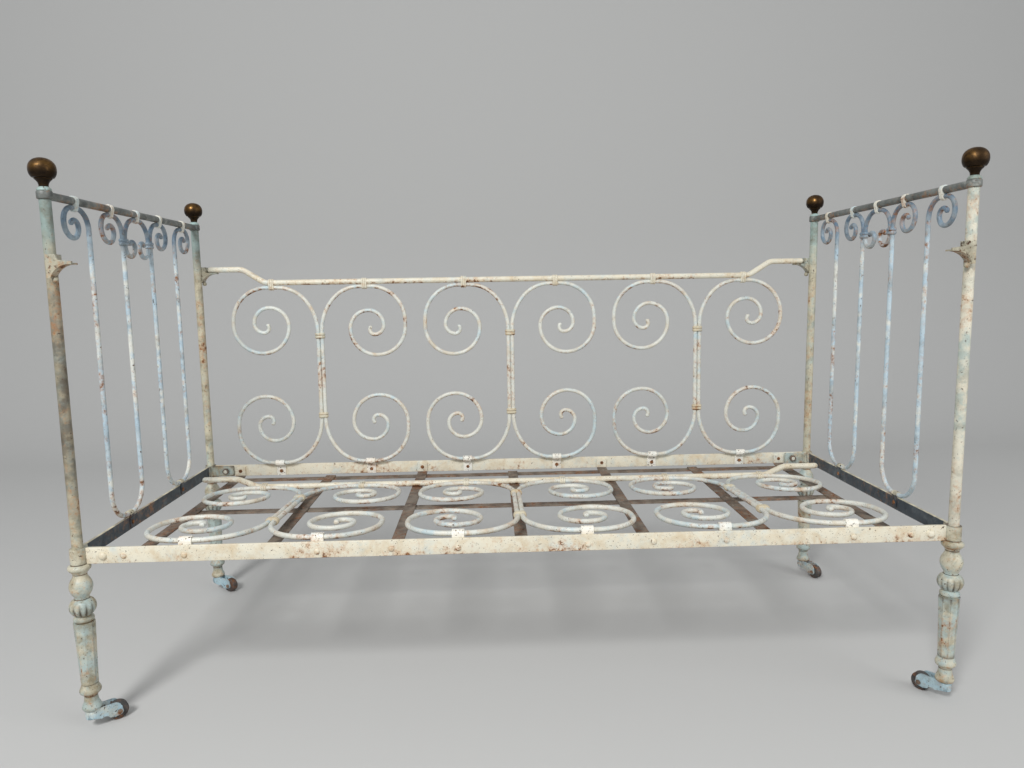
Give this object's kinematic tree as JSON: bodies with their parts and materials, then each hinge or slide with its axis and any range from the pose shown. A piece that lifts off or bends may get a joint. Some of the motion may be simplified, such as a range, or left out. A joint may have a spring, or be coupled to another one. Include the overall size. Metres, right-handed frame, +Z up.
{
  "type": "daybed",
  "caption": "Painted iron daybed with scrolled ends, a strap lattice, scrolled sides that fold flat or stand in catches, and cast legs on swivel casters",
  "frame": {"origin": "on the floor below the middle of the bed", "axes": "+X along the bed to the right as seen from the front, +Y from the front to the rear, +Z up"},
  "size_m": [1.4468, 0.5966, 0.894],
  "materials": {
    "cream_paint": "old cream paint over iron, chipped, with rust and pale blue from an earlier coat",
    "slate_paint": "worn slate blue paint over iron",
    "dark_paint": "dull dark weathered paint over iron",
    "blue_paint": "chipped light blue paint over iron",
    "rusty_iron": "rusted bare iron",
    "dark_iron": "dark worn iron",
    "aged_brass": "brown aged brass with rubbed highlights"
  },
  "bodies": {
    "frame": {"front_side_rail": "cream_paint", "rear_side_rail": "cream_paint", "left_end_rail": "dark_paint", "left_top_rail": "cream_paint", "left_front_scroll_bar": "slate_paint", "left_rear_scroll_bar": "slate_paint", "left_crest_scroll": "slate_paint", "right_end_rail": "dark_paint", "right_top_rail": "cream_paint", "right_front_scroll_bar": "slate_paint", "right_rear_scroll_bar": "slate_paint", "right_crest_scroll": "slate_paint", "front_left_leg": "cream_paint", "front_left_post": "cream_paint", "front_right_leg": "cream_paint", "front_right_post": "cream_paint", "rear_left_leg": "cream_paint", "rear_left_post": "cream_paint", "rear_right_leg": "cream_paint", "rear_right_post": "cream_paint", "knob_washers": "cream_paint", "post_knobs": "aged_brass", "front_catches": "cream_paint", "rear_catches": "cream_paint", "side_rail_bolts": "cream_paint", "side_rail_nuts": "rusty_iron", "end_top_clips": "slate_paint", "end_bar_collars": "slate_paint", "end_foot_clips": "dark_paint", "front_hinge_straps": "cream_paint", "rear_hinge_straps": "cream_paint", "long_cross_straps": "rusty_iron", "short_cross_straps": "rusty_iron", "lengthwise_straps": "rusty_iron", "rail_rivets": "cream_paint", "lattice_rivets": "rusty_iron"},
    "front_side": {"front_panel_rail": "cream_paint", "front_left_scrolls": "cream_paint", "front_middle_scrolls": "cream_paint", "front_right_scrolls": "cream_paint", "front_rail_clips": "cream_paint", "front_scroll_collars": "cream_paint"},
    "rear_side": {"rear_panel_rail": "cream_paint", "rear_left_scrolls": "cream_paint", "rear_middle_scrolls": "cream_paint", "rear_right_scrolls": "cream_paint", "rear_rail_clips": "cream_paint", "rear_scroll_collars": "cream_paint"},
    "front_left_caster": {"front_left_fork": "blue_paint", "front_left_axle": "rusty_iron"},
    "front_left_roller": {"front_left_wheel": "dark_iron"},
    "front_right_caster": {"front_right_fork": "blue_paint", "front_right_axle": "rusty_iron"},
    "front_right_roller": {"front_right_wheel": "dark_iron"},
    "rear_left_caster": {"rear_left_fork": "blue_paint", "rear_left_axle": "rusty_iron"},
    "rear_left_roller": {"rear_left_wheel": "dark_iron"},
    "rear_right_caster": {"rear_right_fork": "blue_paint", "rear_right_axle": "rusty_iron"},
    "rear_right_roller": {"rear_right_wheel": "dark_iron"}
  },
  "joints": [
    {"name": "front_side_fold", "type": "hinge", "parent": "frame", "child": "front_side", "pos_m": [0, -0.26755, 0.3035], "axis": [1, 0, 0], "range_deg": [0, 94.3]},
    {"name": "rear_side_fold", "type": "hinge", "parent": "frame", "child": "rear_side", "pos_m": [0, 0.26755, 0.3035], "axis": [1, 0, 0], "range_deg": [0, 88.7]},
    {"name": "front_left_swivel", "type": "hinge", "parent": "frame", "child": "front_left_caster", "pos_m": [-0.7, -0.279, 0.02], "axis": [0, 0, 1], "continuous": true},
    {"name": "front_left_roll", "type": "hinge", "parent": "front_left_caster", "child": "front_left_roller", "pos_m": [-0.67166, -0.25522, 0.015], "axis": [-0.6428, 0.766, 0], "continuous": true},
    {"name": "front_right_swivel", "type": "hinge", "parent": "frame", "child": "front_right_caster", "pos_m": [0.7, -0.279, 0.02], "axis": [0, 0, 1], "continuous": true},
    {"name": "front_right_roll", "type": "hinge", "parent": "front_right_caster", "child": "front_right_roller", "pos_m": [0.68039, -0.24762, 0.015], "axis": [-0.848, -0.5299, 0], "continuous": true},
    {"name": "rear_left_swivel", "type": "hinge", "parent": "frame", "child": "rear_left_caster", "pos_m": [-0.7, 0.279, 0.02], "axis": [0, 0, 1], "continuous": true},
    {"name": "rear_left_roll", "type": "hinge", "parent": "rear_left_caster", "child": "rear_left_roller", "pos_m": [-0.6662, 0.26395, 0.015], "axis": [0.4067, 0.9135, 0], "continuous": true},
    {"name": "rear_right_swivel", "type": "hinge", "parent": "frame", "child": "rear_right_caster", "pos_m": [0.7, 0.279, 0.02], "axis": [0, 0, 1], "continuous": true},
    {"name": "rear_right_roll", "type": "hinge", "parent": "rear_right_caster", "child": "rear_right_roller", "pos_m": [0.71505, 0.2452, 0.015], "axis": [0.9135, 0.4067, 0], "continuous": true}
  ]
}
